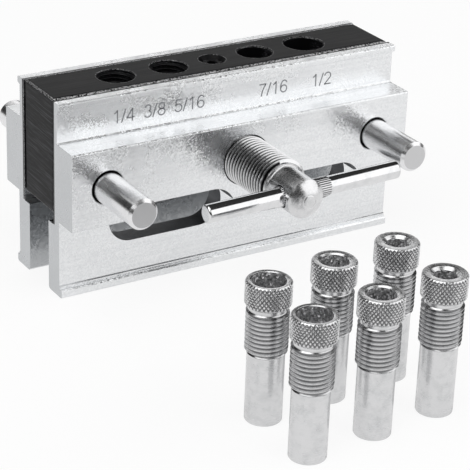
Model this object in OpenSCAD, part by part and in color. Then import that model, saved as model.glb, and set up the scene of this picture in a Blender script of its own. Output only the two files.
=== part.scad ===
// Self-centring doweling jig: two jaws slide on guide rods either side of a drill guide block,
// and one right-and-left-hand lead screw closes them together. Six threaded bushings go with it.
// Origin: centre of the guide block's underside. X along the jig, -Y towards the handle, Z up.

/* [Guide block] */
// Thickness of the block between the jaws
block_width = 19.5; // [18.5:0.1:22]
// How far each end of the block sits in from the jaws' ends
block_inset = 0.3; // [0:0.1:1]
// How far the block's top stands above the jaws
block_proud = 0.3; // [0:0.1:1]
// Radius of the block's long edges
block_round = 1.3; // [0.5:0.1:2]
// Radius of the edges round the block's two ends
block_end_round = 1.0; // [0.4:0.1:2]
// Height of the block's underside above the jaws' feet
block_lift = 25.8; // [25.4:0.1:30]

/* [Guide holes] */
// Distance of the two inner guide holes from the middle of the block
inner_hole_offset = 15.4; // [15.2:0.1:17]
// Distance of each outer guide hole from the guide rod beside it
hole_to_rod = 13.9; // [12:0.1:16]
// Bore of the inner plain guide hole, for a 7/16 inch drill
small_guide_dia = 11.2; // [10:0.05:12]
// Bore of the outer plain guide hole, for a 1/2 inch drill
large_guide_dia = 12.8; // [12:0.05:13.5]
// Chamfer at the mouth of each guide hole
hole_chamfer = 0.3; // [0.1:0.05:0.6]

/* [Drill bushings] */
// Outside diameter of the bushing thread
bushing_thread_dia = 11.8; // [11.6:0.1:12.2]
// Pitch of the bushing thread
bushing_pitch = 1.25; // [1:0.05:1.5]
// Threaded length of a bushing
bushing_thread_length = 12.5; // [10:0.25:13.5]
// Diameter of the plain pilot below the thread
pilot_dia = 10.4; // [10.3:0.05:10.6]
// How far a seated bushing stops above the block's underside
bushing_stop = 1.8; // [1:0.1:4]
// Length of the relief between the head and the thread
relief_length = 1.2; // [0.8:0.1:1.5]
// Diameter of the knurled head
bushing_head_dia = 12.7; // [12.6:0.1:14]
// Height of the knurled head
bushing_head_height = 7; // [6:0.1:9]
// Chamfer on the head's two rims
head_chamfer = 0.35; // [0.2:0.05:0.6]
// Drill sizes of the three kinds of bushing: 3/8, 5/16 and 1/4 inch
bushing_bores = [9.525, 7.94, 6.35];
// Countersink diameter at the top of each kind of bushing
bushing_mouths = [10, 8.8, 8];
// Distance between bushings along the jig
bushing_spacing = 22; // [16:0.2:26]
// Distance between the two rows of bushings
bushing_row_spacing = 22; // [16:0.2:26]
// Distance of the first bushing column left of the middle
bushing_left = 42.6; // [20:0.2:50]
// Distance of the first back bushing in front of the middle
bushing_front = 103; // [94:0.5:115]
// How much further back each next column of bushings stands
column_step = 2; // [0:0.5:4]

/* [Jaws] */
// Length of each jaw
jaw_length = 119; // [112:0.2:130]
// Height of each jaw from its foot to its upper edge
jaw_height = 62; // [61:0.2:66]
// Gap between each jaw and the block when the jaws are closed
jaw_gap = 0.2; // [0.1:0.05:0.3]
// Wall of the jaw beside the block
upper_wall = 2.5; // [2:0.1:4]
// Wall of the clamping plate below the block
lower_wall = 7.1; // [5:0.1:9]
// How far the clamping plate stands in from the block's face
ledge_step = 3.4; // [2:0.1:4.5]
// Height of the ledge under the block, above the jaw's foot
ledge_height = 22.7; // [19:0.1:24]
// Depth of the rib that holds the rods and the screw, from the block's face
rib_depth = 12.4; // [10.5:0.1:15]
// Height of that rib
rib_height = 24.6; // [21:0.1:26]
// Height of the lip along the upper edge
lip_height = 2.3; // [1.5:0.1:3]
// How far the lip stands out from the upper wall
lip_out = 1.4; // [0.8:0.1:2]
// Height of the bead along the foot
bead_height = 3.8; // [3:0.1:6]
// How far the bead stands out from the clamping plate
bead_out = 1.6; // [1:0.1:2.4]
// Radius of the jaw's inner lower edge
foot_round = 1; // [0.5:0.1:2]
// Small chamfer that breaks the extrusion's outer edges
edge_break = 0.4; // [0.2:0.05:0.6]
// Length of each sight window
window_length = 39.2; // [30:0.2:42]
// Height of each sight window
window_height = 15.5; // [10:0.1:16]
// Metal left between the two windows of a jaw
window_web = 7.2; // [6:0.2:14]
// Height of the windows' middle above the jaw's foot
window_rise = 21.6; // [20:0.1:22]

/* [Guide rods] */
// Diameter of each guide rod
rod_dia = 9.7; // [8:0.1:10.5]
// Length of each guide rod
rod_length = 88; // [82:0.5:100]
// Distance of each rod from the jaws' ends
rod_edge = 12; // [10.5:0.1:14]
// Height of the rods and the lead screw above the block's underside
rod_rise = 11.2; // [10.6:0.1:12]
// Chamfer on each rod end
rod_chamfer = 0.9; // [0.4:0.1:1.5]

/* [Lead screw] */
// Outside diameter of the lead screw's threads
screw_dia = 15.7; // [14:0.1:15.8]
// Pitch of the lead screw's left-hand and right-hand threads
screw_pitch = 1.5; // [1.25:0.05:1.75]
// Least half length of the plain journal inside the block
journal_half_length = 5.8; // [4:0.2:8]
// Distance of each threaded end from the middle of the jig
screw_reach = 43.8; // [42:0.2:52]
// Length of the turned-down end beyond the last turn of thread
screw_runout = 0.4; // [0.2:0.1:1.2]
// Diameter of the barrel that carries the tommy bar
barrel_dia = 12.1; // [11:0.1:13]
// Length of the barrel's straight side
barrel_length = 11.5; // [10:0.1:14]
// Height of the barrel's domed end
dome_height = 2.5; // [1.5:0.1:4]
// Depth of the groove that the retaining screw runs in
groove_depth = 1.65; // [1.2:0.05:2]

/* [Retaining screw] */
// Outside diameter of the retaining screw in the block's top
grub_dia = 6; // [5:0.1:7]
// Depth of its flat end below the block's top
grub_sink = 1; // [0.6:0.1:2]
// Diameter of the dog point that runs in the groove
dog_dia = 4; // [3.5:0.1:4.1]
// Length of the dog point
dog_length = 3; // [2.5:0.1:4]
// Across-corners size of the hexagon socket
socket_dia = 3.4; // [2.8:0.1:3.6]
// Depth of the hexagon socket
socket_depth = 3; // [2:0.1:4]
// Countersink diameter above the retaining screw
grub_mouth_dia = 8.8; // [8:0.1:9.4]

/* [Tommy bar] */
// Diameter of the tommy bar
bar_dia = 5.6; // [5:0.1:5.8]
// Length of the tommy bar
bar_length = 67; // [56:0.5:67]
// How far the bar's middle sits to the right of the screw
bar_shift = 2.6; // [0:0.1:2.7]
// Diameter over the knurled band that is pressed into the barrel
band_dia = 6; // [5.9:0.05:6.4]
// Length of the knurled band
band_length = 17; // [14:0.5:20]
// Turn of the bar about the screw when the jaws are closed, in degrees
bar_tilt = 1.1; // [0:0.1:3]
// Rounding of the bar's ends
bar_end_round = 0.7; // [0.3:0.1:1.2]

/* [Fits] */
// Radial running clearance of rods and threads in the jaws and the block
running_clearance = 0.07; // [0.03:0.01:0.1]
// Radial clearance of a bushing in its threaded hole
bushing_clearance = 0.05; // [0.03:0.01:0.1]
// Radial clearance round the dog point and above the groove
dog_clearance = 0.15; // [0.1:0.01:0.3]
// Radial interference of pressed pieces
press = 0.01; // [0.005:0.005:0.02]
// Chamfer round each rod hole of the jaws
rod_hole_chamfer = 0.75; // [0.3:0.05:0.9]
// Chamfer round the threaded hole of each jaw
screw_hole_chamfer = 0.3; // [0.1:0.05:0.6]

/* [Hidden] */
$fn = 96;
past = 1;                                       // how far a cutter runs past the face it opens
// A metric thread's shares of its pitch
root_share = 0.25;
flank_share = 0.3125;
crest_share = 0.125;
thread_depth_share = 0.6134;
arc_steps = 8;                                  // straight pieces in a rounded corner
// Fine steps of the foot bead, as shares of its width and its height
bead_steps = [[1, 0.6], [0.7, 0.72], [0.3, 0.68], [0.3, 0.92], [0, 1]];

inner_face = block_width / 2 + jaw_gap;         // jaw face beside the block, from the middle
clamp_face = inner_face - ledge_step;           // face that grips the work
wall_face = inner_face + upper_wall;
rib_face = inner_face + rib_depth;
plate_face = clamp_face + lower_wall;
block_length = jaw_length - 2 * block_inset;
block_height = jaw_height - block_lift + block_proud;
axis_above_foot = block_lift + rod_rise;
rib_top = axis_above_foot + rib_height / 2;
rib_foot = axis_above_foot - rib_height / 2;
rod_offset = jaw_length / 2 - rod_edge;
outer_hole_offset = rod_offset - hole_to_rod;
rod_bore = rod_dia / 2 + running_clearance;
screw_bore = screw_dia / 2 + running_clearance;
thread_bore = bushing_thread_dia / 2 + bushing_clearance;
pilot_bore = pilot_dia / 2 + bushing_clearance;
tapped_depth = relief_length + bushing_thread_length + bushing_pitch;
pilot_length = block_height - bushing_stop - relief_length - bushing_thread_length;
bushing_height = pilot_length + bushing_thread_length + relief_length + bushing_head_height;
groove_radius = screw_dia / 2 - groove_depth;
groove_half = dog_dia / 2 + dog_clearance;
dog_tip = rod_rise + groove_radius + dog_clearance;
grub_top = block_height - grub_sink;
grub_mouth = (grub_mouth_dia - grub_dia) / 2;
barrel_end = screw_reach + barrel_length;
bar_place = screw_reach + (barrel_length + dome_height / 2) / 2;
steel = [0.80, 0.80, 0.81];
black_oxide = [0.16, 0.16, 0.17];
silver_anodised = [0.86, 0.87, 0.88];

// Points of an arc round (x, y), from angle a to angle b
function arc(x, y, r, a, b) =
    [for (i = [0 : arc_steps]) let (t = a + (b - a) * i / arc_steps) [x + r * cos(t), y + r * sin(t)]];

// Profile points of a screw thread from height z upwards, as one ridge per pitch
function ridges(z, count, pitch, r) =
    let (root = r - thread_depth_share * pitch)
    [for (i = [0 : count - 1], p = [[root, 0], [root, root_share], [r, root_share + flank_share],
                                    [r, root_share + flank_share + crest_share]])
        [p[0], z + (i + p[1]) * pitch]];

// Lengthways turns of a solid that is built along Z
module along_x() { rotate([0, 90, 0]) children(); }
module towards_front() { rotate([90, 0, 0]) children(); }

// Straight bar of diameter d along Z, centred, with chamfered ends
module chamfered_bar(d, length, chamfer) {
    rotate_extrude()
        polygon([[0, -length / 2], [d / 2 - chamfer, -length / 2], [d / 2, chamfer - length / 2],
                 [d / 2, length / 2 - chamfer], [d / 2 - chamfer, length / 2], [0, length / 2]]);
}

// Cutter for an upright hole of radius r through the block, chamfered at both mouths
module upright_hole(x, r, chamfer) {
    translate([x, 0, -past]) cylinder(r = r, h = block_height + 2 * past);
    translate([x, 0, block_height - chamfer]) cylinder(r1 = r, r2 = r + chamfer + past, h = chamfer + past);
    translate([x, 0, -past]) cylinder(r1 = r + chamfer + past, r2 = r, h = chamfer + past);
}

// Cutter for a threaded bushing hole: thread bore above, pilot bore below
module bushing_hole(x) {
    upright_hole(x, pilot_bore, hole_chamfer);
    translate([x, 0, block_height - tapped_depth]) cylinder(r = thread_bore, h = tapped_depth + past);
    translate([x, 0, block_height - hole_chamfer / 2])
        cylinder(r1 = thread_bore, r2 = thread_bore + hole_chamfer / 2 + past, h = hole_chamfer / 2 + past);
}

// Rounded bar that the guide block is cut from: its section, its plan and its face meet in one solid
module block_bar() {
    module rounded(a, b, r) {
        for (x = [-1, 1], y = [-1, 1]) translate([x * (a / 2 - r), y * (b / 2 - r)]) circle(r = r);
        square([a - 2 * r, b], center = true);
        square([a, b - 2 * r], center = true);
    }
    translate([0, 0, block_height / 2]) intersection() {
        rotate([90, 0, 90]) linear_extrude(height = block_length + 2 * past, center = true)
            rounded(block_width, block_height, block_round);
        linear_extrude(height = block_height + 2 * past, center = true)
            rounded(block_length, block_width, block_end_round);
        towards_front() linear_extrude(height = block_width + 2 * past, center = true)
            rounded(block_length, block_height, block_end_round);
    }
}

module guide_block() color(black_oxide) {
    difference() {
        block_bar();
        bushing_hole(-outer_hole_offset);
        bushing_hole(-inner_hole_offset);
        upright_hole(inner_hole_offset, small_guide_dia / 2, hole_chamfer);
        upright_hole(outer_hole_offset, large_guide_dia / 2, hole_chamfer);
        // lead screw and guide rods run across
        translate([0, 0, rod_rise]) towards_front()
            cylinder(r = screw_bore, h = block_width + 2 * past, center = true);
        for (side = [-1, 1]) translate([side * rod_offset, 0, rod_rise]) towards_front()
            cylinder(r = rod_dia / 2 - press, h = block_width + 2 * past, center = true);
        // retaining screw above the lead screw's groove
        translate([0, 0, rod_rise]) cylinder(d = grub_dia, h = block_height);
        translate([0, 0, block_height - grub_mouth])
            cylinder(r1 = grub_dia / 2, r2 = grub_dia / 2 + grub_mouth + past, h = grub_mouth + past);
    }
}

// Section of a jaw: first number outwards from the middle plane, second up from the foot
function jaw_section() = concat(
    arc(clamp_face + foot_round, foot_round, foot_round, 180, 270),
    [[plate_face + bead_out - edge_break, 0], [plate_face + bead_out, edge_break]],
    [for (step = bead_steps) [plate_face + bead_out * step[0], bead_height * step[1]]],
    [[plate_face, rib_foot], [rib_face - edge_break, rib_foot], [rib_face, rib_foot + edge_break],
     [rib_face, rib_top - edge_break], [rib_face - edge_break, rib_top]],
    [[wall_face + edge_break, rib_top], [wall_face, rib_top + edge_break]],
    [[wall_face, jaw_height - lip_height], [wall_face + lip_out, jaw_height - lip_height + edge_break],
     [wall_face + lip_out, jaw_height - edge_break], [wall_face + lip_out - edge_break, jaw_height]],
    [[inner_face, jaw_height], [inner_face, ledge_height], [clamp_face, ledge_height]]);

// Cutter for a cross hole through a jaw's rib, chamfered where it opens
module cross_hole(x, r, chamfer) {
    translate([x, 0, rod_rise]) rotate([-90, 0, 0]) {
        cylinder(r = r, h = rib_face + past);
        translate([0, 0, rib_face - chamfer]) cylinder(r1 = r, r2 = r + chamfer + past, h = chamfer + past);
    }
}

// Cutter for one sight window, round at both ends
module window(side) {
    reach = (window_length - window_height) / 2;
    translate([side * (window_web + window_length) / 2, 0, window_rise - block_lift]) rotate([-90, 0, 0]) {
        for (end = [-1, 1]) translate([end * reach, 0, 0]) cylinder(d = window_height, h = rib_face + past);
        translate([-reach, -window_height / 2, 0]) cube([2 * reach, window_height, rib_face + past]);
    }
}

// Rear jaw in place; the front one is its mirror image
module jaw() {
    difference() {
        translate([0, 0, -block_lift]) rotate([90, 0, 90])
            linear_extrude(height = jaw_length, center = true) polygon(jaw_section());
        for (side = [-1, 1]) {
            cross_hole(side * rod_offset, rod_bore, rod_hole_chamfer);
            window(side);
        }
        cross_hole(0, screw_bore, screw_hole_chamfer);
    }
}

module front_jaw() color(silver_anodised) mirror([0, 1, 0]) jaw();
module rear_jaw() color(silver_anodised) jaw();

module guide_rod(side) color(steel)
    translate([side * rod_offset, 0, rod_rise]) towards_front()
        chamfered_bar(rod_dia, rod_length, rod_chamfer);
module guide_rod_left() guide_rod(-1);
module guide_rod_right() guide_rod(1);

// Half of the lead screw's outline, from the groove out to the threaded end
function screw_half() =
    let (r = screw_dia / 2, root = r - thread_depth_share * screw_pitch, top = screw_reach - screw_runout,
         count = floor((top - journal_half_length) / screw_pitch), start = top - count * screw_pitch)
    concat([[groove_radius, groove_half], [r, groove_half], [r, start]],
           ridges(start, count, screw_pitch, r),
           [[root, top], [root, screw_reach]]);

// The same outline turned end for end
function mirrored(points) = [for (i = [len(points) - 1 : -1 : 0]) [points[i][0], -points[i][1]]];

module lead_screw() color(steel) {
    dome = [for (i = [0 : 2 * arc_steps]) let (t = 90 * i / (2 * arc_steps))
        [barrel_dia / 2 * cos(t), barrel_end + dome_height * sin(t)]];
    half = screw_half();
    difference() {
        translate([0, 0, rod_rise]) towards_front() rotate_extrude()
            polygon(concat([[0, -screw_reach]], mirrored(half), half, [[barrel_dia / 2, screw_reach]], dome));
        bar_at() cylinder(r = band_dia / 2 - press, h = 2 * barrel_dia, center = true);
    }
}

// Places something along the tommy bar's axis, which crosses the barrel
module bar_at() {
    translate([0, -bar_place, rod_rise]) rotate([0, -bar_tilt, 0]) along_x() children();
}

module tommy_bar() color(steel) {
    r = bar_dia / 2;
    half = bar_length / 2;
    step = band_dia / 2 - r;
    bar_at() translate([0, 0, bar_shift]) rotate_extrude()
        polygon(concat([[0, -half]], arc(r - bar_end_round, bar_end_round - half, bar_end_round, -90, 0),
                       [[r, -band_length / 2 - step], [r + step, -band_length / 2],
                        [r + step, band_length / 2], [r, band_length / 2 + step]],
                       arc(r - bar_end_round, half - bar_end_round, bar_end_round, 0, 90), [[0, half]]));
}

module retaining_screw() color(black_oxide) {
    translate([0, 0, dog_tip]) difference() {
        union() {
            cylinder(d = dog_dia, h = grub_top - dog_tip);
            translate([0, 0, dog_length]) cylinder(d = grub_dia, h = grub_top - dog_tip - dog_length);
        }
        translate([0, 0, grub_top - dog_tip - socket_depth])
            cylinder(d = socket_dia, h = socket_depth + past, $fn = 6);
    }
}

// Bushing of one kind, standing on its pilot in a column and a row
module bushing(kind, row) color(steel) {
    r = bushing_thread_dia / 2;
    root = r - thread_depth_share * bushing_pitch;
    count = floor(bushing_thread_length / bushing_pitch);
    relief_foot = pilot_length + bushing_thread_length;
    head_foot = relief_foot + relief_length;
    bore = bushing_bores[kind] / 2;
    mouth = bushing_mouths[kind] / 2;
    head = bushing_head_dia / 2;
    pilot = pilot_dia / 2;
    edge = min(hole_chamfer, pilot - bore) / 2;
    place = [kind * bushing_spacing - bushing_left,
             kind * column_step - bushing_front - row * bushing_row_spacing];
    translate([place[0], place[1], -block_lift])
        rotate_extrude()
            polygon(concat([[bore, 0], [pilot - edge, 0], [pilot, edge], [pilot, pilot_length]],
                           ridges(pilot_length, count, bushing_pitch, r),
                           [[root, relief_foot], [root, head_foot],
                            [head - head_chamfer, head_foot], [head, head_foot + head_chamfer],
                            [head, bushing_height - head_chamfer], [head - head_chamfer, bushing_height],
                            [mouth, bushing_height], [bore, bushing_height - (mouth - bore)]]));
}
module bushing_3_8_back() bushing(0, 0);
module bushing_3_8_front() bushing(0, 1);
module bushing_5_16_back() bushing(1, 0);
module bushing_5_16_front() bushing(1, 1);
module bushing_1_4_back() bushing(2, 0);
module bushing_1_4_front() bushing(2, 1);

guide_block();
front_jaw();
rear_jaw();
guide_rod_left();
guide_rod_right();
lead_screw();
tommy_bar();
retaining_screw();
bushing_3_8_back();
bushing_3_8_front();
bushing_5_16_back();
bushing_5_16_front();
bushing_1_4_back();
bushing_1_4_front();
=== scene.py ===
# Self-centring doweling jig with six drill bushings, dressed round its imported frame.
# The jaws, the guide block and the guide rods stay as the frame has them and get their finish here.
# Lead screw, tommy bar, retaining screw, bushings, hole threads and size marks are new surfaces.
import math

import bmesh
import bpy
import numpy as np
from mathutils import Matrix, Vector


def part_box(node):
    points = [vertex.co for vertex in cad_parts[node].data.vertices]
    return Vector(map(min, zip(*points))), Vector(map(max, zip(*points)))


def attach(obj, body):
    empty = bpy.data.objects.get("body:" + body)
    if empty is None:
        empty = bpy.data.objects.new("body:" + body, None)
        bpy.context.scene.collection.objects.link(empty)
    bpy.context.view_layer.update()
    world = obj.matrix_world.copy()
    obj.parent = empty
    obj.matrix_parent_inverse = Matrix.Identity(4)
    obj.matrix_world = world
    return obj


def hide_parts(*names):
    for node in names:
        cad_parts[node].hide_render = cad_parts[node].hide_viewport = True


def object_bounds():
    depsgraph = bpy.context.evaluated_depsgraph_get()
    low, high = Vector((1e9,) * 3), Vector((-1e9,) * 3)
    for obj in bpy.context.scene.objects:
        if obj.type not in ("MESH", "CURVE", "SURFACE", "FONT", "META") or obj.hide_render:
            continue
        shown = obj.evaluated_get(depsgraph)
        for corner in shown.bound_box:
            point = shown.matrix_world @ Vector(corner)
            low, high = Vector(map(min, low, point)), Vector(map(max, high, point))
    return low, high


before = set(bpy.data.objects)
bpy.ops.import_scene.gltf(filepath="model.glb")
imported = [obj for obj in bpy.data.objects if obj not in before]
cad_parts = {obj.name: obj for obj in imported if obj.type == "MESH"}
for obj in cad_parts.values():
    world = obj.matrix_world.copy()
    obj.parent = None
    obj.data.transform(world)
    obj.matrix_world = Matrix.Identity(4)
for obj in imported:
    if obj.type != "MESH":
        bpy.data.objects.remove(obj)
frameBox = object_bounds()
mm = 0.001
scene = bpy.context.scene
print("frame loaded,", len(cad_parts), "nodes")


# Camera: placed by azimuth, elevation and distance from a target, slid sideways and rolled

shot = {
    "azimuth": -32.023,          # degrees round the jig, 0 looks along +Y
    "elevation": 25.103,
    "roll": 2.153,
    "target": (0.4, 0.0, 4.2),   # millimetres
    "distance": 607.4,
    "slide": (7.83, -25.17),     # to the right and up, in the picture's own directions
    "lens": 147.27,
    "clip": (0.05, 20),          # nearest and farthest place seen, in metres
}


def makeCamera(s):
    a, e = math.radians(s["azimuth"]), math.radians(s["elevation"])
    back = Vector((math.sin(a) * math.cos(e), -math.cos(a) * math.cos(e), math.sin(e)))
    turn = (-back).to_track_quat("-Z", "Y").to_matrix() @ Matrix.Rotation(math.radians(s["roll"]), 3, "Z")
    right, up = turn.col[0], turn.col[1]
    data = bpy.data.cameras.new("camera")
    data.lens = s["lens"]
    data.clip_start, data.clip_end = s["clip"]
    camera = bpy.data.objects.new("camera", data)
    place = Vector(s["target"]) + back * s["distance"] + right * s["slide"][0] + up * s["slide"][1]
    camera.location = place * mm
    camera.rotation_mode = "QUATERNION"
    camera.rotation_quaternion = turn.to_quaternion()
    scene.collection.objects.link(camera)
    scene.camera = camera


makeCamera(shot)
scene.view_settings.view_transform = "Standard"


# Helpers for colours and shader nodes

noiseRange = (0.35, 0.65)        # where cloudy noise has most of its values
squareOn = (0.9, 0.97)           # part of the normal along an axis, from which a face is square to it
edgeOn = (0.5, 0.3)              # and below which a face lies along it


def linear(code):
    # linear colour of an sRGB hex code: c / 12.92 up to 0.04045, else ((c + 0.055) / 1.055) ^ 2.4
    c = np.array([int(code[i:i + 2], 16) for i in (1, 3, 5)]) / 255
    c = np.where(c <= 0.04045, c / 12.92, ((c + 0.055) / 1.055) ** 2.4)
    return (*c.tolist(), 1.0)


def addNode(tree, kind, inputs=(), **settings):
    # A setting is a property. Inputs come by name or number in a dictionary, or in their order in a
    # tuple, and each is a value, another node's socket, or a node whose first output is meant.
    node = tree.nodes.new("ShaderNode" + kind)
    for key, value in settings.items():
        setattr(node, key, value)
    for key, value in inputs.items() if isinstance(inputs, dict) else enumerate(inputs):
        if isinstance(value, bpy.types.Node):
            value = value.outputs[0]
        if isinstance(value, bpy.types.NodeSocket):
            tree.links.new(value, node.inputs[key])
        else:
            node.inputs[key].default_value = value
    return node


def newMaterial(name):
    material = bpy.data.materials.new(name)
    material.use_nodes = True
    material.node_tree.nodes.clear()
    return material, material.node_tree


def finishMaterial(tree, inputs):
    addNode(tree, "OutputMaterial", {"Surface": addNode(tree, "BsdfPrincipled", inputs)})


def pattern(tree, kind, vector, size, turn=(0, 0, 0), **looks):
    # texture whose blobs or cells have the given size along each axis, in millimetres
    turned = addNode(tree, "Mapping", {"Vector": vector, "Rotation": turn})
    scaled = addNode(tree, "Mapping", {"Vector": turned, "Scale": tuple(1 / (s * mm) for s in size)})
    return addNode(tree, kind, {"Vector": scaled, "Scale": 1.0, **looks})


def masked(tree, value, limits, mask):
    # mask * share, where share goes from 0 to 1 as the value goes from the first limit to the second
    share = addNode(tree, "MapRange", (value, *limits))
    return addNode(tree, "Math", (share, mask), operation="MULTIPLY")


def blend(tree, a, b, shares):
    # a * first share + b * second share
    parts = [addNode(tree, "Math", pair, operation="MULTIPLY") for pair in zip((a, b), shares)]
    return addNode(tree, "Math", parts, operation="ADD")


def coat(tree, code, *coats):
    # colour of an sRGB code under coats of (share, sRGB code), laid one after the other
    colour = linear(code)
    for share, tint in coats:
        mixed = addNode(tree, "Mix", {0: share, 6: colour, 7: linear(tint)}, data_type="RGBA")
        colour = mixed.outputs[2]
    return colour


def edgeWear(tree, radius, lean):
    # normal rounded over a radius, and 0 on flat faces to 1 where it leans from the true normal
    rounded = addNode(tree, "Bevel", {"Radius": radius * mm}, samples=6)
    true = addNode(tree, "NewGeometry").outputs["Normal"]
    dot = addNode(tree, "VectorMath", (rounded, true), operation="DOT_PRODUCT").outputs["Value"]
    return rounded, addNode(tree, "MapRange", (dot, 1.0, lean))


def dimpled(tree, dimples, tilt, normal):
    # normal + tilt * (random colour of the cell - 0.5), made one long again
    lean = addNode(tree, "VectorMath", (dimples, (0.5, 0.5, 0.5)), operation="SUBTRACT")
    leaning = addNode(tree, "VectorMath", (lean, (tilt,) * 3, normal), operation="MULTIPLY_ADD")
    return addNode(tree, "VectorMath", (leaning,), operation="NORMALIZE")


# Helpers for surfaces

weld = 2e-7                      # points closer than this become one, in metres
sliver = 1e-7                    # and edges shorter than this are dissolved
sharpAngle = 35                  # faces that meet at more degrees than this keep a sharp edge
rootMargin = 0.1                 # how far below a root, in millimetres, a point still counts as in the cut
roundMiddle = 0.3                # about 1 - cos 45: how far in a rounded corner's middle lies
threadShares = np.array([0.0, 0.25, 0.5625, 0.6875])   # of the pitch, at root, root, crest and crest
uprightAxes = ((1, 0, 0), (0, 1, 0), (0, 0, 1))


def boxOf(node):
    # lowest corner, highest corner and middle of a frame node, in millimetres
    low, high = (np.array(corner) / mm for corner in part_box(node))
    return low, high, (low + high) / 2


def newPiece(name, points, faces, material, smoothAngle=sharpAngle):
    # mesh object from arrays of points in millimetres and of faces, welded and facing outwards
    mesh = bpy.data.meshes.new(name)
    mesh.from_pydata(points * mm, [], faces)
    solid = bmesh.new()
    solid.from_mesh(mesh)
    bmesh.ops.remove_doubles(solid, verts=solid.verts, dist=weld)
    bmesh.ops.dissolve_degenerate(solid, edges=solid.edges, dist=sliver)
    bmesh.ops.recalc_face_normals(solid, faces=solid.faces)
    solid.to_mesh(mesh)
    solid.free()
    mesh.shade_smooth()
    mesh.set_sharp_from_angle(angle=math.radians(smoothAngle))
    piece = bpy.data.objects.new(name, mesh)
    scene.collection.objects.link(piece)
    mesh.materials.append(material)
    return piece


def settle(piece, body, slot, *nodes):
    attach(piece, body)
    if nodes:
        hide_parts(*nodes)


def gridFaces(rows, columns):
    # quads of a grid of rows x columns points that are numbered row by row
    corner = (np.arange(rows - 1)[:, None] * columns + np.arange(columns - 1)[None, :]).ravel()
    return np.stack([corner, corner + 1, corner + columns + 1, corner + columns], axis=1)


def turnedGrid(parts, centre, axes):
    # turned surface: centre + along * axis + radius * (cos t * u + sin t * v), t once round
    along = np.concatenate([part[0] for part in parts])
    radius = np.concatenate([part[1] for part in parts])
    u, v, axis = (np.array(a, float) for a in axes)
    t = np.linspace(0, 2 * np.pi, radius.shape[1])
    ring = np.cos(t)[:, None] * u + np.sin(t)[:, None] * v
    points = radius[..., None] * ring[None] + along[..., None] * axis
    return (points + np.array(centre, float)).reshape(-1, 3), gridFaces(*along.shape)


def plainRows(profile, columns):
    # one ring for each (along, radius) pair of a profile
    pairs = np.array(profile, float)
    return np.repeat(pairs[:, :1], columns, axis=1), np.repeat(pairs[:, 1:], columns, axis=1)


def threadRows(start, end, pitch, crest, root, hand, columns, ends, slope=1.0):
    # Helical thread between start and end: along = start + pitch * (turn + share + hand * t / 2 pi).
    # The radius goes from root to crest and back by the share of the pitch, as a trapezoid thread, and
    # stays under a cone that rises from each end ring. Past an end, every point folds onto its ring.
    heights = np.array([root, root, crest, crest])
    turns = np.arange(-2, math.ceil((end - start) / pitch) + 2)
    share = (turns[:, None] + threadShares[None, :]).ravel()
    t = np.linspace(0, 1, columns)
    along = start + pitch * (share[:, None] + hand * t[None, :])
    radius = np.repeat(np.tile(heights, len(turns))[:, None], columns, axis=1)
    radius = np.minimum(radius, ends[0] + (along - start) * slope)
    radius = np.minimum(radius, ends[1] + (end - along) * slope)
    radius = np.where(along <= start, ends[0], np.where(along >= end, ends[1], radius))
    return np.clip(along, start, end), radius


def triangleWave(x):
    # 0 at whole numbers and 1 halfway between them, in straight lines
    return 1 - np.abs(2 * (x - np.floor(x)) - 1)


def markTurning(piece, centre, axis, cuts=()):
    # Stores (radius, place along the axis) of every point, in metres, for the turning marks, and how
    # deep it lies in a cut, for the oil and painted shade in the roots: share * (crest - radius) / (crest
    # - root), for each cut (start, end, root, crest, share). A bore lies well inside the root and gets
    #   none.
    mesh, axis = piece.data, np.array(axis, float)
    points = np.empty(len(mesh.vertices) * 3, np.float32)
    mesh.vertices.foreach_get("co", points)
    offset = points.reshape(-1, 3) - np.array(centre, float) * mm
    along = offset @ axis
    radius = np.linalg.norm(offset - along[:, None] * axis, axis=1)
    place = np.stack([radius, along, np.zeros_like(along)], axis=1).astype(np.float32)
    mesh.attributes.new("turning", "FLOAT_VECTOR", "POINT").data.foreach_set("vector", place.ravel())
    depth = np.zeros(len(along), np.float32)
    for start, end, root, crest, oilAndShadeShare in cuts:
        inside = (along > start * mm) & (along < end * mm) & (radius > (root - rootMargin) * mm)
        depth = np.where(inside, oilAndShadeShare * np.clip((crest - radius / mm) / (crest - root), 0, 1), depth)
    mesh.attributes.new("root", "FLOAT", "POINT").data.foreach_set("value", depth.astype(np.float32))


# Anodised aluminium: a bead-blasted extrusion under a clear anodic film. The eye gets a pale matt
# metal that sparkles where light meets dark, soft reflections, and edges that catch the light.

anodised = {
    "colour": "#F7F8F9",
    "shade": "#DCDEE0",
    "dark": "#1E1E20",           # painted shadow and oil in the mouths of the cross holes, and painted shadow in the gap beside the block
    "windowShadeAndMillMarks": "#8C8D90",         # painted shade on the walls of the windows, standing in for the shade inside them
    "endShade": "#CACCCE",           # painted shade on the ends of the jaws, the faces along X
    "clampShade": "#BCBEC0",          # painted shade on the clamping faces between the jaws
    "roughness": (0.23, 0.30),
    "milledRoughness": 0.5,
    "dimple": 0.38,              # blasting dimples; real ones are 0.1 mm, drawn as coarse as shows
    "tilt": 0.14,                # how far a dimple's normal leans at most, each way from 0.5
    "drawLines": (60, 0.9, 0.9), # lines that the extrusion die leaves along X
    "lineRange": (0.4, 0.7),     # part of the noise that draws them
    "shadeShares": (0.5, 0.2),   # how much of the shade the dimples and the lines bring
    "cloud": 9.0,                # size of the patches where the film is smoother or rougher
    "edge": 0.15,                # radius of a rubbed edge
    "edgeLean": 0.82,            # lean of the rounded normal that counts as fully an edge
    "edgePolish": -0.06,         # added to the roughness there
    "holes": {"rod": (47.5, 11.2, 5.33), "screw": (0.0, 11.2, 8.12)},   # |x|, z and radius of the dark
    "windows": (43.0, -4.2, 7.9),  # half length of both together, middle height and half height
    "gapShadow": (10.75, -3.0),       # painted shadow of the gap beside the block: |y| it reaches and height it starts at
    "clampFace": 7.5,            # |y| inside which a surface facing along Y is a clamping face
    "blur": {"hole": 0.08, "window": 0.1, "gapShadow": 0.05, "gapShadowFoot": 0.1, "clampShade": 0.2},  # soft borders
}


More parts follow.
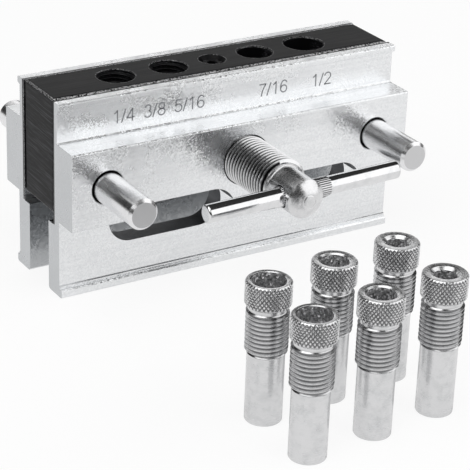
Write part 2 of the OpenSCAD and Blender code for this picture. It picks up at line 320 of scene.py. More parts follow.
def holeMouths(tree, x, z, s):
    # 1 inside the dark radius of any cross hole, seen along Y, where oil and painted shadow go, and 0
    # outside it
    dark, blur = 0.0, s["blur"]["hole"]
    place = addNode(tree, "CombineXYZ", {0: x, 2: z})
    for middle, rise, radius in s["holes"].values():
        away = addNode(tree, "VectorMath", (place, (middle * mm, 0, rise * mm)), operation="DISTANCE")
        limits = (radius + blur) * mm, (radius - blur) * mm
        inside = addNode(tree, "MapRange", (away.outputs["Value"], *limits))
        dark = addNode(tree, "Math", (inside, dark), operation="MAXIMUM")
    return dark


def windowWalls(tree, x, z, normalY, s):
    # 1 on surfaces that face along X or Z inside the windows, and 0 elsewhere
    halfLength, middle, halfHeight = (v * mm for v in s["windows"])
    fromMiddle = addNode(tree, "Math", (z, middle), operation="SUBTRACT")
    rise = addNode(tree, "Math", (fromMiddle,), operation="ABSOLUTE")
    past = [addNode(tree, "Math", pair, operation="SUBTRACT")
            for pair in ((x, halfLength), (rise, halfHeight))]
    beyond = addNode(tree, "Math", past, operation="MAXIMUM")
    wall = addNode(tree, "MapRange", (normalY, *edgeOn))
    return masked(tree, beyond, (s["blur"]["window"] * mm, 0.0), wall)


def blockGapShadow(tree, y, z, normalY, s):
    # 1 on the narrow strip of the jaws' tops and ends beside the block, where the gap's shadow is painted,
    # and 0 elsewhere
    reach, foot = (v * mm for v in s["gapShadow"])
    side, rise = s["blur"]["gapShadow"] * mm, s["blur"]["gapShadowFoot"] * mm
    high = addNode(tree, "MapRange", (z, foot, foot + rise))
    near = masked(tree, y, (reach + side, reach - side), high)
    return masked(tree, normalY, edgeOn, near)


def makeAnodised(s):
    material, tree = newMaterial("anodisedAluminiumBlasted")
    coordinates = addNode(tree, "TexCoord")
    place = coordinates.outputs["Object"]
    x, y, z = addNode(tree, "SeparateXYZ", (place,)).outputs
    normal = addNode(tree, "SeparateXYZ", (coordinates.outputs["Normal"],)).outputs
    x, y, normalX, normalY = (addNode(tree, "Math", (part,), operation="ABSOLUTE")
                              for part in (x, y, normal[0], normal[1]))
    # walls: the windows' walls, where the shade inside the windows is painted darker and the roughness is
    # raised
    walls = windowWalls(tree, x, z, normalY, s)
    places = holeMouths(tree, x, z, s), blockGapShadow(tree, y, z, normalY, s)
    # dark: painted shadow in the hole mouths and in the gap beside the block, with oil in the mouths
    dark = addNode(tree, "Math", places, operation="MAXIMUM")
    # ends: faces along X, which get painted shade
    ends = addNode(tree, "MapRange", (normalX, *squareOn))
    # clamping faces between the jaws, which get painted shade
    reach, blur = s["clampFace"] * mm, s["blur"]["clampShade"] * mm
    clampShadeMask = masked(tree, y, (reach, reach - blur), addNode(tree, "MapRange", (normalY, *squareOn)))
    dimples = pattern(tree, "TexVoronoi", place, (s["dimple"],) * 3).outputs["Color"]
    lines = pattern(tree, "TexNoise", place, s["drawLines"], Detail=1.5)
    cloud = pattern(tree, "TexNoise", place, (s["cloud"],) * 3)
    rounded, edge = edgeWear(tree, s["edge"], s["edgeLean"])
    speck = addNode(tree, "SeparateXYZ", (dimples,))
    drawn = addNode(tree, "MapRange", (lines, *s["lineRange"]))
    tone = blend(tree, speck, drawn, s["shadeShares"])
    colour = coat(tree, s["colour"], (tone, s["shade"]), (ends, s["endShade"]), (clampShadeMask, s["clampShade"]),
                  (walls, s["windowShadeAndMillMarks"]), (dark, s["dark"]))
    film = addNode(tree, "MapRange", (cloud, *noiseRange, *s["roughness"]))
    polish = addNode(tree, "Math", (edge, s["edgePolish"]), operation="MULTIPLY")
    blasted = addNode(tree, "Math", (film, polish), operation="ADD")
    roughness = addNode(tree, "Mix", {0: walls, 2: blasted, 3: s["milledRoughness"]})
    finishMaterial(tree, {"Base Color": colour, "Metallic": 1.0, "Roughness": roughness,
                          "Normal": dimpled(tree, dimples, s["tilt"], rounded)})
    return material


# Black oxide steel: milled flat bar, ground on its ends, blackened in a hot bath and oiled. The eye
# gets a satin black with fine grinding lines, and bare steel where corners have been rubbed.

blackOxide = {
    "colour": "#0A0A0C",
    "worn": "#D8D8D9",
    "wornMetallic": 0.9,
    "scratch": "#4E4E51",
    "specular": 0.12,            # the oiled oxide reflects less than plastic or paint does
    "roughness": (0.40, 0.48),
    "uprightRoughness": 0.75,    # on the upright corners, where soot and oil stay
    "upright": (0.1, 0.3),       # product of two parts of the normal where such a corner is
    "grain": 0.4,
    "chips": (0.47, 0.53),       # part of the grain that breaks the rubbed corners up
    "endFacing": (0.8, 0.95),    # part of the normal along X from which a face is an end
    "grindLines": (0.24, 12.0),  # width and length of a scratch on the ends, along Y
    "grindTurn": -0.04,          # how far the scratches lean, in radians
    "grindRange": (0.52, 0.66),  # part of the noise that is cut deep enough to show bare steel
    "millLines": (0.3, 14.0),    # width and length of a cutter mark on the other faces, along X
    "heightShares": (0.7, 0.3),  # of the lines and of the grain, in the relief
    "relief": 0.02,
    "edge": 0.5,                 # radius of a rubbed edge
    "edgeLean": 0.88,            # lean of the rounded normal that counts as fully an edge
    "corner": (0.33, 0.44),      # product of two parts of the normal where a rounded corner is rubbed
    "outside": (57.0, 8.2),      # |x| and |y| past which a corner is the block's own and not a hole's
    "blur": 0.2,                 # soft border of that, each way
}
blackScrew = {**blackOxide, "worn": "#5C5C5E", "edge": 0.2}   # less rubbed


def makeBlackOxide(name, s):
    material, tree = newMaterial(name)
    coordinates = addNode(tree, "TexCoord")
    place = coordinates.outputs["Object"]
    away = addNode(tree, "SeparateXYZ", (place,)).outputs
    facing = addNode(tree, "SeparateXYZ", (coordinates.outputs["Normal"],)).outputs
    farX, farY, x, y, z = (addNode(tree, "Math", (part,), operation="ABSOLUTE")
                           for part in (away[0], away[1], *facing))
    atEnd, atSide = (addNode(tree, "MapRange", (far, (limit - s["blur"]) * mm, (limit + s["blur"]) * mm))
                     for far, limit in zip((farX, farY), s["outside"]))
    onEnd = addNode(tree, "MapRange", (x, *s["endFacing"]))
    width, length = s["grindLines"]
    turn = (s["grindTurn"], 0, 0)
    scratch = pattern(tree, "TexNoise", place, (width, length, width), turn, Roughness=0.7)
    width, length = s["millLines"]
    windowShadeAndMillMarks = pattern(tree, "TexNoise", place, (length, width, width), Roughness=0.6)
    grain = pattern(tree, "TexNoise", place, (s["grain"],) * 3, Detail=3.0, Roughness=0.6)
    lines = addNode(tree, "Mix", {0: onEnd, 2: windowShadeAndMillMarks, 3: scratch})
    rounded, edge = edgeWear(tree, s["edge"], s["edgeLean"])
    sideways = addNode(tree, "Math", (x, y), operation="MAXIMUM")
    corner = addNode(tree, "Math", (z, sideways), operation="MULTIPLY")
    outside = addNode(tree, "Math", (atEnd, atSide), operation="MAXIMUM")
    outer = masked(tree, corner, s["corner"], outside)
    upright = masked(tree, addNode(tree, "Math", (x, y), operation="MULTIPLY"), s["upright"], atEnd)
    rubbed = addNode(tree, "Math", (edge, outer), operation="MAXIMUM")
    chipped = masked(tree, grain, s["chips"], rubbed)
    cut = masked(tree, scratch, s["grindRange"], onEnd)
    satin = addNode(tree, "MapRange", (lines, *noiseRange, *s["roughness"]))
    height = blend(tree, lines, grain, s["heightShares"])
    relief = {"Height": height, "Distance": s["relief"] * mm, "Normal": rounded}
    finishMaterial(tree, {
        "Base Color": coat(tree, s["colour"], (cut, s["scratch"]), (chipped, s["worn"])),
        "Metallic": addNode(tree, "Math", (chipped, s["wornMetallic"]), operation="MULTIPLY"),
        "Roughness": addNode(tree, "Mix", {0: upright, 2: satin, 3: s["uprightRoughness"]}),
        "Specular IOR Level": s["specular"],
        "Normal": addNode(tree, "Bump", relief),
    })
    return material


# Ground steel: bar ground between wheels. The eye gets a dark satin core between bright flanks,
# faint rings from the wheel, and faced ends that are matt.

groundSteel = {
    "colour": "#EEEEEF",
    "endColour": "#D0D0D1",
    "roughness": (0.20, 0.27),
    "endRoughness": 0.38,
    "endFacing": (0.9, 0.98),    # part of the normal along Y from which a face is an end
    "rings": (60, 0.6, 60),      # size of a wheel mark along X, Y and Z, so that it runs round the bar
    "endGrain": 0.5,
    "relief": 0.0015,
}


def makeGroundSteel(s):
    material, tree = newMaterial("groundSteelSatin")
    coordinates = addNode(tree, "TexCoord")
    place = coordinates.outputs["Object"]
    facing = addNode(tree, "SeparateXYZ", (coordinates.outputs["Normal"],)).outputs["Y"]
    square = addNode(tree, "Math", (facing,), operation="ABSOLUTE")
    onEnd = addNode(tree, "MapRange", (square, *s["endFacing"]))
    rings = pattern(tree, "TexNoise", place, s["rings"], Roughness=0.6)
    grain = pattern(tree, "TexNoise", place, (s["endGrain"],) * 3)
    side = addNode(tree, "MapRange", (rings, *noiseRange, *s["roughness"]))
    height = addNode(tree, "Mix", {0: onEnd, 2: rings, 3: grain})
    finishMaterial(tree, {
        "Base Color": coat(tree, s["colour"], (onEnd, s["endColour"])),
        "Metallic": 1.0,
        "Roughness": addNode(tree, "Mix", {0: onEnd, 2: side, 3: s["endRoughness"]}),
        "Normal": addNode(tree, "Bump", {"Height": height, "Distance": s["relief"] * mm}),
    })
    return material


# Turned steel, nickel bright: cut on a lathe and plated thinly. The eye gets fine rings round the
# axis that draw each reflection out lengthways, and soft spots where the plating is thinner.

turnedSteel = {
    "colour": "#DFDFE0",
    "shade": "#D0D1D2",
    "thin": (0.45, 0.75),        # part of the grain where the plating thins to the shade
    "oilAndShade": "#2C2C2E",            # dark oil and painted shade in the roots of threads and knurls
    "oilAndShadeDepths": (0.3, 1.0),         # from which share of a root's depth to which
    "dimple": (0.36, 0.05),      # size and tilt of the plating's fine grain
    "roughness": (0.18, 0.30),
    "mottle": (0.6, 0.4),        # shares of the rings and of the grain in the roughness
    "rings": 0.3,                # tool feed; real feed is 0.1 mm, drawn as it shows
    "ringDepth": 0.0035,
    "grain": 3.0,
}
# the lead screw is left as turned, with darker oil and painted shade in its roots
screwSteel = {**turnedSteel, "oilAndShade": "#141416", "oilAndShadeDepths": (0.1, 0.6), "roughness": (0.20, 0.30),
              "ringDepth": 0.007}
# the tommy bar has the same plating over a polished bar
polishedSteel = {**turnedSteel, "colour": "#E4E4E5", "shade": "#D8D9DA", "oilAndShade": "#505053",
                 "oilAndShadeDepths": (0.2, 0.9), "dimple": (0.36, 0.0), "roughness": (0.08, 0.13), "rings": 1.2,
                 "ringDepth": 0.0006}
# the bores of the bushings are left as drilled
drilledSteel = {**turnedSteel, "colour": "#F0F0F1", "shade": "#77777A", "oilAndShade": "#232325",
                "oilAndShadeDepths": (0.2, 0.9), "dimple": (0.5, 0.8), "roughness": (0.35, 0.55), "rings": 0.45,
                "ringDepth": 0.03, "grain": 0.7}


def makeTurnedSteel(name, s):
    material, tree = newMaterial(name)
    turning = addNode(tree, "Attribute", attribute_name="turning").outputs["Vector"]
    root = addNode(tree, "Attribute", attribute_name="root").outputs["Fac"]
    place = addNode(tree, "TexCoord").outputs["Object"]
    rings = pattern(tree, "TexNoise", turning, (s["rings"], s["rings"], 1), Roughness=0.6)
    grain = pattern(tree, "TexNoise", place, (s["grain"],) * 3, Detail=3.0, Roughness=0.6)
    thin = addNode(tree, "MapRange", (grain, *s["thin"]))
    # oil and painted shade in the roots of threads and knurls
    oilAndShadeMask = addNode(tree, "MapRange", (root, *s["oilAndShadeDepths"]))
    mottle = blend(tree, rings, grain, s["mottle"])
    size, tilt = s["dimple"]
    dimples = pattern(tree, "TexVoronoi", place, (size,) * 3).outputs["Color"]
    grooved = addNode(tree, "Bump", {"Height": rings, "Distance": s["ringDepth"] * mm})
    finishMaterial(tree, {
        "Base Color": coat(tree, s["colour"], (thin, s["shade"]), (oilAndShadeMask, s["oilAndShade"])),
        "Metallic": 1.0,
        "Roughness": addNode(tree, "MapRange", (mottle, *noiseRange, *s["roughness"])),
        "Normal": dimpled(tree, dimples, tilt, grooved),
    })
    return material


# Laser mark on anodised aluminium: the film is bleached to a flat grey with a fine dry grain.

laserMark = {
    "colour": "#A0A2A5",
    "shade": "#85878B",
    "metallic": 0.15,            # the burnt film hides the metal under it
    "roughness": 0.65,
    "grain": 0.25,
    "relief": 0.01,
}


def makeLaserMark(s):
    material, tree = newMaterial("laserMarkedAluminium")
    place = addNode(tree, "TexCoord").outputs["Object"]
    grain = pattern(tree, "TexNoise", place, (s["grain"],) * 3)
    finishMaterial(tree, {
        "Base Color": coat(tree, s["colour"], (grain, s["shade"])),
        "Metallic": s["metallic"],
        "Roughness": s["roughness"],
        "Normal": addNode(tree, "Bump", {"Height": grain, "Distance": s["relief"] * mm}),
    })
    return material


anodisedFinish = makeAnodised(anodised)
blackFinish = makeBlackOxide("blackOxideSteelGround", blackOxide)
blackScrewFinish = makeBlackOxide("blackOxideSteelScrew", blackScrew)
groundFinish = makeGroundSteel(groundSteel)
turnedFinish = makeTurnedSteel("turnedSteelNickel", turnedSteel)
screwFinish = makeTurnedSteel("turnedSteelScrew", screwSteel)
polishedFinish = makeTurnedSteel("polishedSteelNickel", polishedSteel)
drilledFinish = makeTurnedSteel("drilledSteelBore", drilledSteel)
markFinish = makeLaserMark(laserMark)
finishes = {"front_jaw": anodisedFinish, "rear_jaw": anodisedFinish, "guide_block": blackFinish,
            "guide_rod_left": groundFinish, "guide_rod_right": groundFinish}
for node, finish in finishes.items():
    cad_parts[node].material_slots[0].material = finish
print("finishes made")


# Lead screw: left-hand thread in front, right-hand thread behind, so clockwise closes the jaws

leadScrew = {
    "pitch": 1.5,
    "depth": 0.92,
    "oilAndShadeShare": 1.0,                 # share of a root's oil and painted shade that the thread shows
    "journal": 5.8,              # half length of the plain middle
    "groove": (6.2, 2.15),       # radius and half width
    "threadEnd": 43.8,
    "endRadius": 6.85,
    "barrelRadius": 6.05,
    "barrelEnd": 55.3,
    "barrelEdge": 0.25,
    "dome": 2.5,
    "domeRings": 30,
    "ring": (2.06, 0.16, 0.11),  # turned ring on the dome: radius, width and depth
    "ringRings": 15,             # points across it
    "ringReach": 3,              # how many widths to each side they go
    "columns": 145,
}
tommyBar = {
    "place": 50.175,             # in front of the middle
    "tilt": 1.1,                 # degrees
    "radius": 2.8,
    "endRound": 0.7,
    "endRings": 7,
    "bandRadius": 3.0,
    "bandLength": 17.0,
    "bandRunOut": 0.3,
    "serrations": 26,
    "pointsEach": 6,
    "oilAndShadeShare": 1.0,
    "oilAndShadeInset": 0.1,            # how far inside the band's ends its oil and painted shade stop
    "holeGap": 0.12,
    "holeFlare": (4.4, 0.75),    # where the hole starts to widen, and by how much at its mouth
    "holeColumns": 65,
}
screwLow, screwHigh, screwMiddle = boxOf("lead_screw")
screwAxes = ((1, 0, 0), (0, 0, 1), (0, -1, 0))
screwCentre = (screwMiddle[0], 0, screwMiddle[2])
screwCrest = (screwHigh[0] - screwLow[0]) / 2
screwRoot = screwCrest - leadScrew["depth"]


def domeProfile(s):
    # cap of a ball: along = barrelEnd + dome - ball + sqrt(ball^2 - r^2), less a bell-shaped dip at
    # the ring, where ball = (barrelRadius^2 + dome^2) / (2 * dome)
    ball = (s["barrelRadius"] ** 2 + s["dome"] ** 2) / (2 * s["dome"])
    r = s["barrelRadius"] * np.sin(np.linspace(np.pi / 2, 0, s["domeRings"]))
    ringRadius, ringWidth, ringDepth = s["ring"]
    near = ringRadius + ringWidth * np.linspace(s["ringReach"], -s["ringReach"], s["ringRings"])
    r = np.sort(np.concatenate([r, near]))[::-1]
    dip = ringDepth * np.exp(-((r - ringRadius) / ringWidth) ** 2)
    along = s["barrelEnd"] + s["dome"] - ball + np.sqrt(ball ** 2 - r ** 2) - dip
    return np.stack([along, r], axis=1)


def makeLeadScrew(s):
    n, end, barrel, edge = s["columns"], s["threadEnd"], s["barrelRadius"], s["barrelEdge"]
    groove, half = s["groove"]
    middle = roundMiddle * edge
    thread = s["pitch"], screwCrest, screwRoot
    parts = (
        plainRows([(-end, 0), (-end, s["endRadius"])], n),
        threadRows(-end, -s["journal"], *thread, 1, n, (s["endRadius"], screwCrest)),
        plainRows([(-half, screwCrest), (-half, groove), (half, groove), (half, screwCrest)], n),
        threadRows(s["journal"], end, *thread, -1, n, (screwCrest, s["endRadius"])),
        plainRows([(end, s["endRadius"]), (end, barrel + edge), (end + middle, barrel + middle),
                   (end + edge, barrel)], n),
        plainRows(domeProfile(s), n),
    )
    return newPiece("lead_screw_threaded", *turnedGrid(parts, screwCentre, screwAxes), screwFinish)


def screwCuts(s):
    # both threads as cuts for markTurning, short of the taper at the screw's ends
    near, far = s["journal"], s["threadEnd"] - s["depth"]
    return [(start, end, screwRoot, screwCrest, s["oilAndShadeShare"]) for start, end in ((near, far), (-far, -near))]


def barAxes(bar):
    a = math.radians(bar["tilt"])
    return (0, 1, 0), (-math.sin(a), 0, math.cos(a)), (math.cos(a), 0, math.sin(a))


def cutCrossHole(screw, bar, barrel):
    # Bores the tommy bar's hole through the barrel with a plain turned cutter, whose radius grows in a
    # straight line from where the flare starts to the barrel's own surface and on to the cutter's end.
    radius, reach = bar["bandRadius"] + bar["holeGap"], bar["bandLength"] / 2
    flare, wider = bar["holeFlare"]
    wide = radius + wider * (reach - flare) / (barrel - flare)
    parts = [plainRows([(-reach, 0), (-reach, wide), (-flare, radius), (flare, radius), (reach, wide),
                        (reach, 0)], bar["holeColumns"])]
    centre = (screwCentre[0], -bar["place"], screwCentre[2])
    cutter = newPiece("crossHoleCutter", *turnedGrid(parts, centre, barAxes(bar)), screwFinish)
    cut = screw.modifiers.new("crossHole", "BOOLEAN")
    cut.operation, cut.solver, cut.object = "DIFFERENCE", "EXACT", cutter
    result = bpy.data.meshes.new_from_object(screw.evaluated_get(bpy.context.evaluated_depsgraph_get()))
    screw.modifiers.clear()
    screw.data = result
    bpy.data.objects.remove(cutter)
    result.shade_smooth()
    result.set_sharp_from_angle(angle=math.radians(sharpAngle))


def makeTommyBar(s):
    # The radius follows a quarter circle at each end. In the middle band it rises and falls with
    # the angle, as radius = bar + (band - bar) * triangleWave(serrations * t / 2 pi).
    n = s["serrations"] * s["pointsEach"] + 1
    low, high, middle = boxOf("tommy_bar")
    a = math.radians(s["tilt"])
    half = ((high[0] - low[0]) / 2 - s["radius"] * math.sin(a)) / math.cos(a)
    t = np.linspace(0, np.pi / 2, s["endRings"])
    roundAlong = half - s["endRound"] * (1 - np.sin(t))
    roundRadius = s["radius"] - s["endRound"] * (1 - np.cos(t))
    right = np.stack([roundAlong, roundRadius], axis=1)
    left = (right * (-1, 1))[::-1]
    reach, runOut = s["bandLength"] / 2, s["bandRunOut"]
    # a plain ring on each side of the band keeps its ridges out of the shading of the long plain ends
    bandAlong, bandShare = plainRows([(-reach - runOut, 0), (-reach, 0), (runOut - reach, 1),
                                      (reach - runOut, 1), (reach, 0), (reach + runOut, 0)], n)
    wave = triangleWave(s["serrations"] * np.linspace(0, 1, n))
    bandRadius = s["radius"] + (s["bandRadius"] - s["radius"]) * bandShare * wave
    parts = (plainRows([(-half, 0)], n), plainRows(left, n), (bandAlong, bandRadius),
             plainRows(right, n), plainRows([(half, 0)], n))
    centre = (middle[0], -s["place"], middle[2])
    bar = newPiece("tommy_bar_knurled", *turnedGrid(parts, centre, barAxes(s)), polishedFinish)
    inset = s["oilAndShadeInset"]
    cuts = [(inset - reach, reach - inset, s["radius"], s["bandRadius"], s["oilAndShadeShare"])]
    markTurning(bar, centre, barAxes(s)[2], cuts)
    return bar


screw = makeLeadScrew(leadScrew)
cutCrossHole(screw, tommyBar, leadScrew["barrelRadius"])
markTurning(screw, screwCentre, screwAxes[2], screwCuts(leadScrew))
settle(screw, "screw", "turned_steel", "lead_screw")
bar = makeTommyBar(tommyBar)
settle(bar, "screw", "ground_steel", "tommy_bar")
print("lead screw and tommy bar made,", len(screw.data.polygons), "and", len(bar.data.polygons), "faces")


# Retaining screw: a socket set screw with a dog point, seen in the hole in the block's top

retainingScrew = {
    "pitch": 0.8,
    "depth": 0.45,
    "dogRadius": 2.0,
    "dogLength": 3.0,
    "dogEdge": 0.2,
    "rim": 0.45,                 # chamfer round its top
    "socket": 1.47,              # middle to flat of the hexagon socket
    "socketDepth": 3.0,
    "socketMouth": 1.1,          # how much wider the socket is at its mouth
    "columns": 97,
}


def makeRetainingScrew(s):
    # turned dog, threaded body and top; the socket's radius is socket / cos(t - nearest flat)
    low, high, middle = boxOf("retaining_screw")
    n, dog, edge, deep = s["columns"], s["dogRadius"], s["dogEdge"], s["socketDepth"]
    crest, foot, top = (high[0] - low[0]) / 2, low[2], high[2]
    dogTop, root = foot + s["dogLength"], crest - s["depth"]
    t = np.linspace(0, 2 * np.pi, n)
    flat = s["socket"] / np.cos((t + np.pi / 6) % (np.pi / 3) - np.pi / 6)
    drop, shares = plainRows([(0, s["socketMouth"]), (edge, 1), (deep, 1), (deep, 0)], n)
    parts = (
        plainRows([(foot, 0), (foot, dog - edge), (foot + edge, dog), (dogTop, dog)], n),
        threadRows(dogTop, top, s["pitch"], crest, root, 1, n, (dog + edge, crest - s["rim"])),
        (top - drop, shares * flat),
    )
    centre = (middle[0], middle[1], 0)
    piece = newPiece("retaining_screw_socket", *turnedGrid(parts, centre, uprightAxes), blackScrewFinish)
    settle(piece, "guide_body", "black_oxide_steel", "retaining_screw")


makeRetainingScrew(retainingScrew)


# Threads inside the two bushing holes: a thin sleeve whose inner side is the helical thread

holeThread = {
    "places": {"left": -33.6, "right": -15.4},   # along X
    "pitch": 1.25,
    "major": 5.93,
    "minor": 5.25,
    "wall": 5.99,                # its outside, just inside the block's own wall
    "length": 14.9,
    "mouth": 0.3,                # below the block's top
    "columns": 121,
}


def makeHoleThreads(s):
    # an inner thread is the outer one with every radius negative: crests towards the axis
    top = boxOf("guide_block")[1][2]
    n, start, end = s["columns"], top - s["length"], top - s["mouth"]
    major, wall = s["major"], s["wall"]
    along, radius = threadRows(start, end, s["pitch"], -s["minor"], -major, 1, n, (-major, -major))
    parts = (plainRows([(start, major)], n), (along, -radius),
             plainRows([(end, major), (end, wall), (start, wall), (start, major)], n))
    for side, x in s["places"].items():
        points, faces = turnedGrid(parts, (x, 0, 0), uprightAxes)
        piece = newPiece("hole_thread_" + side, points, faces, blackScrewFinish)
        settle(piece, "guide_body", "black_oxide_steel")


makeHoleThreads(holeThread)
print("retaining screw and hole threads made")


# Drill bushings: knurled head, relief, thread and plain pilot round a reamed bore

bushings = {
    "kinds": {"3_8": (9.525, 10.0), "5_16": (7.94, 8.8), "1_4": (6.35, 8.0)},  # bore and mouth
    "rows": ("back", "front"),
    "pilot": (5.2, 21.0),        # radius and length
    "pilotEdge": 0.3,
    "pitch": 1.25,
    "crest": 5.9,
    "root": 5.13,
    "runOut": (0.6, 0.75),       # how far the thread starts down the pilot, and its slope there
    "threadLength": 12.5,
    "relief": (5.4, 1.2),        # radius and length
    "knurls": 34,                # diamonds round the head
    "knurlHeight": 1.5,
    "knurlDepth": 0.5,
    "knurlFlat": 0.5,            # share of the full point height that is left
    "knurlRows": 47,
    "pointsEach": 6,
    "rim": 0.45,
    "lip": 0.12,                 # radius of the bore's rounded mouth
    "lipRings": 5,
    "oilAndShadeShare": {"thread": 0.72, "knurl": 1.0},   # share of a root's oil and painted shade that each shows
    "boreMargin": 0.01,          # faces this close to the bore get its finish
    "sharpAngle": 28,            # finer than elsewhere, for the knurl's points
}


def knurledRows(s, foot, top, head, n):
    # radius = head - depth * (1 - point), where point is the lower of two triangle waves that run
    # round the head in opposite slants, cut flat at the top; both ends slope in to the rim
    along = np.repeat(np.linspace(foot, top, s["knurlRows"])[:, None], n, axis=1)
    around = s["knurls"] * np.linspace(0, 1, n)[None, :]
    rise = (along - foot) / s["knurlHeight"]
    point = np.minimum(triangleWave(around + rise), triangleWave(around - rise))
    point = np.minimum(point, s["knurlFlat"]) / s["knurlFlat"]
    inset = np.minimum(along - foot, top - along)
    return along, np.minimum(head - s["knurlDepth"] * (1 - point), head - s["rim"] + inset)


def makeBushing(s, kind, row):
    # closed profile from the bore's foot up the outside and back down the bore
    name = "bushing_" + kind + "_" + row
    low, high, middle = boxOf(name)
    bore, mouth = (d / 2 for d in s["kinds"][kind])
    n = s["knurls"] * s["pointsEach"] + 1
    foot, top, head = low[2], high[2], (high[0] - low[0]) / 2
    pilot, pilotLength = s["pilot"]
    relief, reliefLength = s["relief"]
    runOut, slope = s["runOut"]
    edge, lip, rim = s["pilotEdge"], s["lip"], s["rim"]
    cornerMiddle = roundMiddle * edge
    threadFoot = foot + pilotLength - runOut
    threadTop = foot + pilotLength + s["threadLength"]
    headFoot = threadTop + reliefLength
    t = np.linspace(0, np.pi / 2, s["lipRings"])
    mouthRound = np.stack([top - lip * (1 - np.cos(t)), mouth + lip * (1 - np.sin(t))], axis=1)
    parts = (
        plainRows([(foot, bore), (foot, pilot - edge), (foot + cornerMiddle, pilot - cornerMiddle),
                   (foot + edge, pilot)], n),
        threadRows(threadFoot, threadTop, s["pitch"], s["crest"], s["root"], 1, n, (pilot, relief), slope),
        plainRows([(headFoot, relief)], n),
        knurledRows(s, headFoot, top, head, n),
        plainRows(mouthRound, n),
        plainRows([(top - (mouth - bore), bore), (foot, bore)], n),
    )
    centre = (middle[0], middle[1], 0)
    points, faces = turnedGrid(parts, centre, uprightAxes)
    piece = newPiece(name + "_knurled", points, faces, turnedFinish, s["sharpAngle"])
    mesh = piece.data
    mesh.materials.append(drilledFinish)
    middles = np.empty(len(mesh.polygons) * 3, np.float32)
    mesh.polygons.foreach_get("center", middles)
    away = np.linalg.norm(middles.reshape(-1, 3)[:, :2] / mm - middle[:2], axis=1)
    mesh.polygons.foreach_set("material_index", (away < bore + s["boreMargin"]).astype(np.int32))
    cuts = [(threadFoot, threadTop, s["root"], s["crest"], s["oilAndShadeShare"]["thread"]),
            (headFoot + rim, top - rim, head - s["knurlDepth"], head, s["oilAndShadeShare"]["knurl"])]
    markTurning(piece, centre, uprightAxes[2], cuts)
    settle(piece, name, "turned_steel", name)
    return len(mesh.polygons)


for kind in bushings["kinds"]:
    for row in bushings["rows"]:
        faceCount = makeBushing(bushings, kind, row)
print("bushings made,", faceCount, "faces each")


# Size marks: plain drill sizes in inches, laser marked on the front jaw above its rib

sizeMarks = {
    "words": {"1/4": -41.3, "3/8": -30.75, "5/16": -20.3, "7/16": 9.45, "1/2": 28.85},  # left end along X
    "foot": 26.65,               # height of the baseline
    "height": 4.25,
    "stroke": 0.40,
    "narrow": 0.94,              # signs are drawn this much narrower than the boxes below
    "advance": {"/": 0.39, "digit": 0.777},   # width of a sign as a share of its height
    "wall": -12.45,              # the face they are on
    "proud": 0.02,
    "sunk": 0.05,
    "arcPoints": 15,
}
# Each sign is a list of strokes in a box one high. A stroke is a list of points, and an arc in it
# is (middle x, middle y, half width, half height, first angle, last angle) in degrees.
signStrokes = {
    "/": [[(0.02, -0.01), (0.35, 0.97)]],
    "1": [[(0.17, 0.74), (0.31, 0.81), (0.44, 0.95)], [(0.44, 0.97), (0.44, 0.0)]],
    "2": [[(0.38, 0.69, 0.28, 0.26, 172, -28), (0.12, 0.05)], [(0.08, 0.05), (0.69, 0.05)]],
    "3": [[(0.37, 0.715, 0.25, 0.235, 165, -78)], [(0.37, 0.275, 0.29, 0.235, 78, -165)]],
    "4": [[(0.53, 0.0), (0.53, 0.93)], [(0.55, 0.95), (0.07, 0.27)], [(0.05, 0.27), (0.71, 0.27)]],
    "5": [[(0.65, 0.92), (0.20, 0.92)], [(0.21, 0.95), (0.13, 0.47)],
          [(0.37, 0.32, 0.30, 0.28, 143, -165)]],
    "6": [[(0.38, 0.31, 0.28, 0.27, 0, 360)], [(0.41, 0.47, 0.31, 0.48, 38, 195)]],
    "7": [[(0.08, 0.92), (0.69, 0.92)], [(0.68, 0.93), (0.50, 0.66), (0.36, 0.34), (0.29, 0.0)]],
    "8": [[(0.38, 0.72, 0.24, 0.225, 0, 360)], [(0.38, 0.27, 0.29, 0.24, 0, 360)]],
}


def strokePath(stroke, arcPoints):
    # points of a stroke; an arc's are middle + (half width * cos a, half height * sin a)
    path = []
    for part in stroke:
        if len(part) == 2:
            path.append([part])
            continue
        x, y, wide, tall, first, last = part
        a = np.radians(np.linspace(first, last, arcPoints))
        path.append(np.stack([x + wide * np.cos(a), y + tall * np.sin(a)], axis=1))
    return np.concatenate(path)


def strokeGrid(path, s):
    # flat ribbon: path +- half the stroke along its own normal, closed to a thin bar with capped ends
    along = np.gradient(path, axis=0)
    along /= np.linalg.norm(along, axis=1)[:, None]
    side = np.stack([-along[:, 1], along[:, 0]], axis=1) * s["stroke"] / 2
    front, back = s["wall"] - s["proud"], s["wall"] + s["sunk"]
    columns = []
    for sign, y in ((1, front), (-1, front), (-1, back), (1, back), (1, front)):
        x, z = (path + side * sign).T
        columns.append(np.stack([x, np.full(len(path), y), z], axis=1))
    grid = np.stack(columns, axis=1)
    around = grid.shape[1]
    # an end's cap folds every point of its ring onto the middle of its four corners
    caps = [np.repeat(row[:-1].mean(axis=0)[None], around, axis=0)[None] for row in (grid[0], grid[-1])]
    grid = np.concatenate([caps[0], grid, caps[1]])
    return grid.reshape(-1, 3), gridFaces(len(grid), around)


def makeSizeMarks(s):
    points, faces, count = [], [], 0
    wide = s["height"] * s["narrow"]
    for word, left in s["words"].items():
        x = left
        for sign in word:
            for stroke in signStrokes[sign]:
                path = strokePath(stroke, s["arcPoints"]) * (wide, s["height"]) + (x, s["foot"])
                strokePoints, strokeFaces = strokeGrid(path, s)
                points.append(strokePoints)
                faces.append(strokeFaces + count)
                count += len(strokePoints)
            x += s["advance"].get(sign, s["advance"]["digit"]) * wide
    piece = newPiece("size_marks", np.concatenate(points), np.concatenate(faces), markFinish)
    settle(piece, "front_jaw", "anodised_aluminium")


makeSizeMarks(sizeMarks)
print("size marks made")


# Studio: pale floor and five soft panels in a dim room, white all round for the camera. The jig's
# front mirrors the floor, its rounds mirror the right panel, and the dim room gives them dark cores.

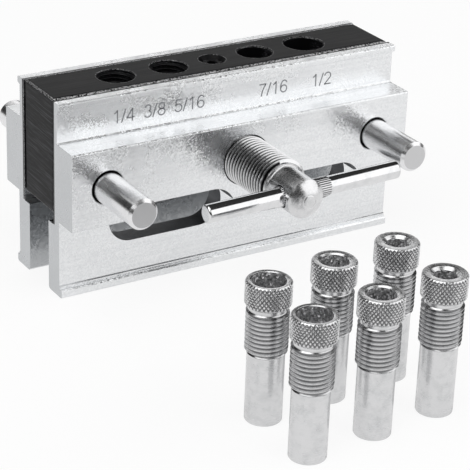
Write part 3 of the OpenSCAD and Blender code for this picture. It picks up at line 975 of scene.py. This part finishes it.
studio = {
    "floorSize": 6.0,
    "floorColour": "#F0F0F0",
    "glow": 1.06,
    "glowSeen": 0.82,            # share of plain white in the floor, for the camera
    "glowMirrored": 0.62,        # and in reflections
    "room": 0.04,
    "lamps": {                   # place, target, size in metres, and radiance
        "right": ((0.713, -0.713, 0.512), (0.0, 0.0, 0.0), (1.66, 1.17), 1.3),
        "above": ((-0.50, -0.16, 1.05), (0.0, 0.0, 0.0), (1.05, 1.8), 1.75),
        "back": ((0.46, 0.99, 0.365), (0.0, 0.0, 0.0), (1.02, 0.39), 1.05),
        "high": ((-0.034, 0.97, 0.705), (0.0, 0.0, 0.0), (1.0, 0.25), 0.8),
        "left": ((-0.57, -0.70, 0.63), (0.0, 0.0, 0.0), (0.35, 0.28), 0.4),
    },
}


def makeFloor(s):
    size, z = s["floorSize"] / 2, frameBox[0][2]
    corners = [(-size, -size, z), (size, -size, z), (size, size, z), (-size, size, z)]
    mesh = bpy.data.meshes.new("floor")
    mesh.from_pydata(corners, [], [(0, 1, 2, 3)])
    floor = bpy.data.objects.new("floor", mesh)
    scene.collection.objects.link(floor)
    material, tree = newMaterial("paperFloor")
    rays = addNode(tree, "LightPath").outputs
    mirrors = rays["Is Glossy Ray"], rays["Is Transmission Ray"]
    mirrored = addNode(tree, "Math", mirrors, operation="MAXIMUM")
    shares = [addNode(tree, "Math", pair, operation="MULTIPLY")
              for pair in ((rays["Is Camera Ray"], s["glowSeen"]), (mirrored, s["glowMirrored"]))]
    share = addNode(tree, "Math", shares, operation="MAXIMUM")
    paper = addNode(tree, "BsdfDiffuse", {"Color": linear(s["floorColour"])})
    glow = addNode(tree, "Emission", {"Strength": s["glow"]})
    addNode(tree, "OutputMaterial", {"Surface": addNode(tree, "MixShader", (share, paper, glow))})
    mesh.materials.append(material)


def makeWorld(s):
    # strength 1 for the camera and the room's own for every other ray
    world = bpy.data.worlds.new("room")
    scene.world = world
    world.use_nodes = True
    tree = world.node_tree
    tree.nodes.clear()
    seen = addNode(tree, "LightPath").outputs["Is Camera Ray"]
    strength = addNode(tree, "MapRange", (seen, 0.0, 1.0, s["room"], 1.0))
    addNode(tree, "OutputWorld", {"Surface": addNode(tree, "Background", {"Strength": strength})})


def makeLamps(s):
    # power = pi * area * radiance
    for name, (place, target, size, radiance) in s["lamps"].items():
        data = bpy.data.lights.new(name, "AREA")
        data.shape, data.size, data.size_y = "RECTANGLE", size[0], size[1]
        data.energy = math.pi * size[0] * size[1] * radiance
        lamp = bpy.data.objects.new(name, data)
        lamp.location = place
        lamp.rotation_mode = "QUATERNION"
        lamp.rotation_quaternion = (Vector(target) - Vector(place)).to_track_quat("-Z", "Y")
        scene.collection.objects.link(lamp)


makeFloor(studio)
makeWorld(studio)
makeLamps(studio)
print("studio made")
